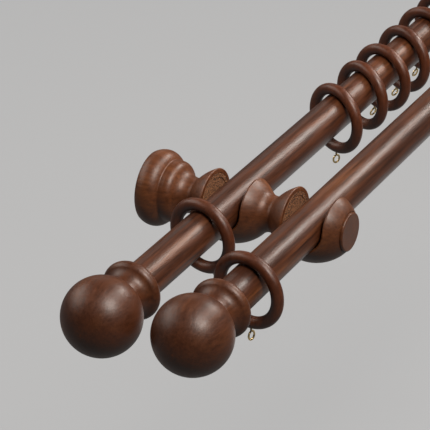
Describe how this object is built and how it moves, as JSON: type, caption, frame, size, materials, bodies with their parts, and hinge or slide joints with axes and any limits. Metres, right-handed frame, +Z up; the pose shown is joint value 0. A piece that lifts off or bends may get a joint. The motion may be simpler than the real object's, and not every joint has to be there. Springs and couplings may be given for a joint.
{
  "type": "double curtain pole",
  "caption": "Wooden double curtain pole: parallel round poles with ball finials in slotted turned wall brackets, with sliding rings and brass screw eyes.",
  "frame": {"origin": "on the wall plane, midway between the brackets, at the height of the bracket axes", "axes": "+X along the poles, +Y into the wall with the object at -Y, +Z up"},
  "size_m": [1.3229, 0.1638, 0.0731],
  "materials": {
    "pole_wood": "walnut stained wood under satin lacquer",
    "ring_wood": "walnut stained wood under satin lacquer, a little redder",
    "grip_pad": "brown textured pad, matt",
    "brass": "brass plated wire",
    "zinc_steel": "dull zinc plate"
  },
  "bodies": {
    "frame": {"rear_pole": "pole_wood", "front_pole": "pole_wood", "left_wall_plate": "zinc_steel", "left_bracket_base": "pole_wood", "left_rear_cradle": "pole_wood", "left_rear_grip_pad": "grip_pad", "left_rear_finial": "pole_wood", "left_front_cradle": "pole_wood", "left_front_grip_pad": "grip_pad", "left_front_finial": "pole_wood", "left_end_button": "pole_wood", "right_wall_plate": "zinc_steel", "right_bracket_base": "pole_wood", "right_rear_cradle": "pole_wood", "right_rear_grip_pad": "grip_pad", "right_rear_finial": "pole_wood", "right_front_cradle": "pole_wood", "right_front_grip_pad": "grip_pad", "right_front_finial": "pole_wood", "right_end_button": "pole_wood", "hanger_bolts": "zinc_steel", "neck_dowels": "zinc_steel", "finial_dowels": "zinc_steel", "pole_screws": "zinc_steel"},
    "rear_ring_1_body": {"rear_ring_1": "ring_wood", "rear_eye_1": "brass"},
    "rear_ring_2_body": {"rear_ring_2": "ring_wood", "rear_eye_2": "brass"},
    "rear_ring_3_body": {"rear_ring_3": "ring_wood", "rear_eye_3": "brass"},
    "rear_ring_4_body": {"rear_ring_4": "ring_wood", "rear_eye_4": "brass"},
    "rear_ring_5_body": {"rear_ring_5": "ring_wood", "rear_eye_5": "brass"},
    "rear_ring_6_body": {"rear_ring_6": "ring_wood", "rear_eye_6": "brass"},
    "rear_ring_7_body": {"rear_ring_7": "ring_wood", "rear_eye_7": "brass"},
    "rear_ring_8_body": {"rear_ring_8": "ring_wood", "rear_eye_8": "brass"},
    "front_ring_1_body": {"front_ring_1": "ring_wood", "front_eye_1": "brass"},
    "front_ring_2_body": {"front_ring_2": "ring_wood", "front_eye_2": "brass"},
    "front_ring_3_body": {"front_ring_3": "ring_wood", "front_eye_3": "brass"},
    "front_ring_4_body": {"front_ring_4": "ring_wood", "front_eye_4": "brass"},
    "front_ring_5_body": {"front_ring_5": "ring_wood", "front_eye_5": "brass"},
    "front_ring_6_body": {"front_ring_6": "ring_wood", "front_eye_6": "brass"},
    "front_ring_7_body": {"front_ring_7": "ring_wood", "front_eye_7": "brass"},
    "front_ring_8_body": {"front_ring_8": "ring_wood", "front_eye_8": "brass"}
  },
  "joints": [
    {"name": "rear_ring_1_slide", "type": "slide", "parent": "frame", "child": "rear_ring_1_body", "axis": [1, 0, 0], "range_m": [-0.084, 0.01]},
    {"name": "rear_ring_2_slide", "type": "slide", "parent": "frame", "child": "rear_ring_2_body", "axis": [1, 0, 0], "range_m": [-0.126, 0.009]},
    {"name": "rear_ring_3_slide", "type": "slide", "parent": "frame", "child": "rear_ring_3_body", "axis": [1, 0, 0], "range_m": [-0.009, 0.006]},
    {"name": "rear_ring_4_slide", "type": "slide", "parent": "frame", "child": "rear_ring_4_body", "axis": [1, 0, 0], "range_m": [-0.006, 0.008]},
    {"name": "rear_ring_5_slide", "type": "slide", "parent": "frame", "child": "rear_ring_5_body", "axis": [1, 0, 0], "range_m": [-0.008, 0.01]},
    {"name": "rear_ring_6_slide", "type": "slide", "parent": "frame", "child": "rear_ring_6_body", "axis": [1, 0, 0], "range_m": [-0.01, 0.006]},
    {"name": "rear_ring_7_slide", "type": "slide", "parent": "frame", "child": "rear_ring_7_body", "axis": [1, 0, 0], "range_m": [-0.006, 0.479]},
    {"name": "rear_ring_8_slide", "type": "slide", "parent": "frame", "child": "rear_ring_8_body", "axis": [1, 0, 0], "range_m": [-0.009, 0.08]},
    {"name": "front_ring_1_slide", "type": "slide", "parent": "frame", "child": "front_ring_1_body", "axis": [1, 0, 0], "range_m": [-0.025, 0.064]},
    {"name": "front_ring_2_slide", "type": "slide", "parent": "frame", "child": "front_ring_2_body", "axis": [1, 0, 0], "range_m": [-0.479, 0.006]},
    {"name": "front_ring_3_slide", "type": "slide", "parent": "frame", "child": "front_ring_3_body", "axis": [1, 0, 0], "range_m": [-0.006, 0.01]},
    {"name": "front_ring_4_slide", "type": "slide", "parent": "frame", "child": "front_ring_4_body", "axis": [1, 0, 0], "range_m": [-0.01, 0.008]},
    {"name": "front_ring_5_slide", "type": "slide", "parent": "frame", "child": "front_ring_5_body", "axis": [1, 0, 0], "range_m": [-0.008, 0.006]},
    {"name": "front_ring_6_slide", "type": "slide", "parent": "frame", "child": "front_ring_6_body", "axis": [1, 0, 0], "range_m": [-0.006, 0.009]},
    {"name": "front_ring_7_slide", "type": "slide", "parent": "frame", "child": "front_ring_7_body", "axis": [1, 0, 0], "range_m": [-0.009, 0.126]},
    {"name": "front_ring_8_slide", "type": "slide", "parent": "frame", "child": "front_ring_8_body", "axis": [1, 0, 0], "range_m": [-0.069, 0.028]}
  ]
}
